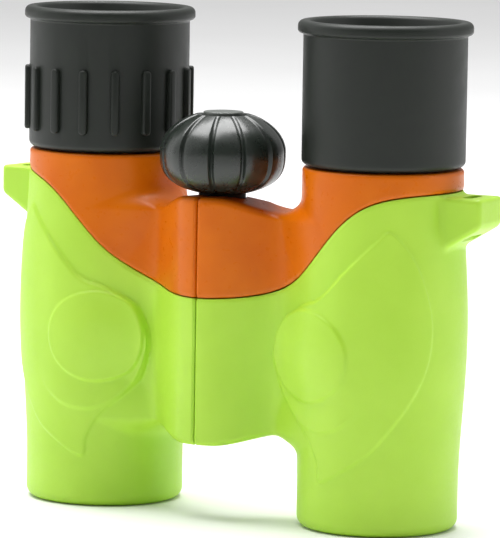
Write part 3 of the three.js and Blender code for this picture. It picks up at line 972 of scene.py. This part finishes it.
def knob_grip():
    """An oblate grip, pinched by narrow channels into twelve lobes."""
    low, high = KNOB_LOW - KNOB_MIDDLE, KNOB_HIGH - KNOB_MIDDLE
    middle, half = (low + high) / 2, (high - low) / 2
    profile = [(CORE_HOLE, KNOB_HIGH - 0.6, 0), (CORE_HOLE, KNOB_LOW + 0.6, 0),
               (5.2, KNOB_LOW + 0.3, 0)]
    for i in range(KNOB_STEPS + 1):
        height = middle + half * math.sin(math.pi * (i / KNOB_STEPS - 0.5))
        profile.append((knob_radius(height), KNOB_MIDDLE + height, 0))
    profile += [(4.9, KNOB_HIGH, 0), (4.5, KNOB_HIGH - 0.25, 0), (CAP_RIM, KNOB_HIGH - 0.6, 0)]
    bm = spun(profile, segments=KNOB_SEGMENTS)
    pitch = 2 * math.pi / LOBES
    for v in bm.verts:
        r = math.hypot(v.co.x, v.co.y)
        under_lip = v.co.z < KNOB_LOW + 0.5 and r < 6.5
        if r < CAP_RIM or under_lip:
            continue
        turns = (math.atan2(v.co.y, v.co.x) - FIRST_GROOVE) / pitch
        off = abs(turns - round(turns))
        fade = min(1, (r - CAP_RIM) / 2.0)
        edge = min(1, max(0, (off * pitch * r - CHANNEL_FLAT) / CHANNEL_SIDE))
        channel = CHANNEL_DEPTH * (1 - edge * edge * (3 - 2 * edge))
        crown = (2 * off) ** 0.5 * (1 - off) - 0.5       # nothing at a lobe's middle
        scale = 1 + fade * (LOBE_CROWN * crown * r / KNOB_R - channel) / r
        v.co.x *= scale
        v.co.y *= scale
    return bm


def make_knob():
    body = "focus_knob"
    add_piece("focus_grip", knob_grip(), body, GRIP, ["focus_knob"])
    origin = Vector((0, 0, 0))
    parts = [
        ("knob_cap", [(0, 80.0, 0), (4.0, 80.0, 0.2), (4.0, 80.95, 0.3), (0, 80.98, 0)],
         "grey_plastic", GREY),
        ("knob_core", ring(2.1, 5.7, 66.8, 79.6, 0.3), "black_plastic", BLACK),
        # The collar takes the darker copy of the black plastic: painted shade under the knob.
        ("knob_collar", ring(2.1, 4.7, 62.2, 66.5, 0.4), "black_plastic", BLACK_PAINTED_SHADE),
        ("focus_spindle", [(0, 34.1, 0), (1.8, 34.1, 0.4), (1.8, 74, 0.3), (0, 74, 0)], "steel", STEEL),
        ("spindle_clip", ring(2.05, 3, 45, 45.8, 0.2), "steel", STEEL),
    ]
    for node, profile, slot, finish in parts:
        make_turned(f"{node}_fine", profile, origin, body, finish, node)


def make_hinge():
    origin = Vector((0, 0, 0))
    washer = (3.3, 6.0)
    parts = [
        ("lower_hinge_pin", [(0, 18, 0), (3, 18, 0.3), (3, 33.2, 0.3), (0, 33.2, 0)], "steel", STEEL),
        ("upper_hinge_bush", ring(2.1, 3, 46.8, 61.9), "brass", BRASS),
        ("lower_hinge_washer", ring(*washer, 25.7, 26.3, 0.15), "white_plastic", NYLON),
        ("upper_hinge_washer", ring(*washer, 53.7, 54.3, 0.15), "white_plastic", NYLON),
        ("hinge_end_cap", [(0, 15.3, 0), (4.9, 15.3, 0.5), (4.9, 17.7, 0.2), (0, 17.7, 0)],
         "black_plastic", BLACK),
    ]
    for node, profile, slot, finish in parts:
        make_turned(f"{node}_fine", profile, origin, "left_half", finish, node)
    spool = [(2.05, 37, 0), (5.7, 37, 0.3), (5.7, 38.2, 0.3), (3, 38.2, 0.3), (3, 41, 0.3),
             (5.7, 41, 0.3), (5.7, 42.2, 0.3), (2.05, 42.2, 0)]
    make_turned("focus_nut_fine", spool, origin, "focus_nut", BRASS, "focus_nut")


def finish_inner_nodes():
    """Materials for the CAD nodes that stay as they are."""
    by_slot = {"black_plastic": BLACK, "lens_glass": GLASS, "steel": STEEL, "brass": BRASS,
               "grey_plastic": GREY, "white_plastic": NYLON, "dark_rubber": RUBBER,
               "orange_shell": ORANGE, "green_armour": LIME}
    slots = {part["node"]: part["material_slot"] for part in frame["record"]["subparts"]}
    for node, item in frame["nodes"].items():
        item.data.materials.clear()
        item.data.materials.append(by_slot[slots[node]])


# ---------------------------------------------------------------- stage, camera and lights


FLOOR_HALF = 6000


def make_floor():
    bm = bmesh.new()
    bmesh.ops.create_grid(bm, x_segments=8, y_segments=8, size=FLOOR_HALF)
    floor = finished("studio_floor", bm)
    floor.data.materials.append(pale_floor())


VIEW_AZIMUTH = math.radians(30.96)
VIEW_ELEVATION = math.radians(6.65)
VIEW_ROLL = math.radians(0.91)
VIEW_DISTANCE = 982.9
VIEW_ASIDE = 5.72
VIEW_HEIGHT = 49.59
LENS = 331.2
SENSOR = 36.0
CLIP_END = 20                    # metres


def make_camera():
    az, el = VIEW_AZIMUTH, VIEW_ELEVATION
    back = Vector((math.sin(az) * math.cos(el), -math.cos(az) * math.cos(el), math.sin(el)))
    right = Vector((math.cos(az), math.sin(az), 0))
    up = back.cross(right)
    place = back * VIEW_DISTANCE + right * VIEW_ASIDE + Vector((HINGE.x, HINGE.y, VIEW_HEIGHT))
    tilted = right * math.cos(VIEW_ROLL) + up * math.sin(VIEW_ROLL)
    turn = Matrix((tilted, back.cross(tilted), back)).transposed()
    data = bpy.data.cameras.new("studio_camera")
    data.lens = LENS
    data.sensor_width = SENSOR
    data.clip_end = CLIP_END
    camera = bpy.data.objects.new("studio_camera", data)
    bpy.context.scene.collection.objects.link(camera)
    camera.matrix_world = Matrix.Translation(place * MM) @ turn.to_4x4()
    bpy.context.scene.camera = camera


def softbox(name, place, aim, size, power):
    """A soft rectangular lamp: places and sizes in metres, power in watts."""
    data = bpy.data.lights.new(name, "AREA")
    data.shape = "RECTANGLE"
    data.size, data.size_y = size
    data.energy = power
    lamp = bpy.data.objects.new(name, data)
    bpy.context.scene.collection.objects.link(lamp)
    lamp.location = place
    lamp.rotation_euler = (Vector(aim) - Vector(place)).to_track_quat("-Z", "Y").to_euler()


TENT_AZIMUTH = math.radians(36)          # where the tent's opening faces
# Each is two values of the cosine to the opening's direction, and the brightness at each.
TENT_OPENING = (0.15, 0.85, 0.88, 0.17)
TENT_BACK = (-0.95, -0.1, 0.45, 1.0)


def graded(nodes, value, span):
    """Maps a value smoothly from one range to another."""
    sockets = ("From Min", "From Max", "To Min", "To Max")
    return nodes.node("ShaderNodeMapRange", {"interpolation_type": "SMOOTHSTEP"},
                      {"Value": value, **dict(zip(sockets, span))})


def make_tent():
    """A white tent: brightest at the sides, dimmer behind, with a darker opening in front."""
    world = bpy.data.worlds.new("studio")
    world.use_nodes = True
    tent = Nodes(world.node_tree)
    direction = tent.node("ShaderNodeTexCoord", output="Generated")
    opening_way = (math.sin(TENT_AZIMUTH), -math.cos(TENT_AZIMUTH), 0)
    toward = tent.node("ShaderNodeVectorMath", {"operation": "DOT_PRODUCT"},
                       {0: direction, 1: opening_way}, output="Value")
    background = tent.tree.nodes["Background"].inputs
    tent.feed(background["Color"], (1, 1, 1, 1))
    tent.feed(background["Strength"],
              graded(tent, toward, TENT_OPENING) * graded(tent, toward, TENT_BACK))
    bpy.context.scene.world = world


def make_lights():
    """One lamp above and a weak one at each side, all aimed at the object's middle."""
    middle = (0, 0, 0.06)
    softbox("overhead", (-0.2, 0.1, 1.0), middle, (1.0, 0.7), 18.5)
    softbox("left_side", (-1.0, -0.1, 0.4), middle, (0.5, 0.9), 1.0)
    softbox("right_side", (1.0, 0.35, 0.4), middle, (0.5, 0.9), 1.0)
    bpy.context.scene.view_settings.view_transform = "Standard"


# ---------------------------------------------------------------- the whole object

finish_inner_nodes()
whole_half = mould_half()
for half, (half_side, half_body) in HALVES.items():
    make_armour(whole_half, half, half_side, half_body)
    make_housing(whole_half, half, half_side, half_body)
bpy.data.objects.remove(whole_half)
make_eyepiece("left", 1, "left_half", "left_half", "left_half")
make_eyepiece("right", -1, "right_half", "right_ocular", "diopter_grip")
make_knob()
make_hinge()
make_floor()
make_camera()
make_tent()
make_lights()
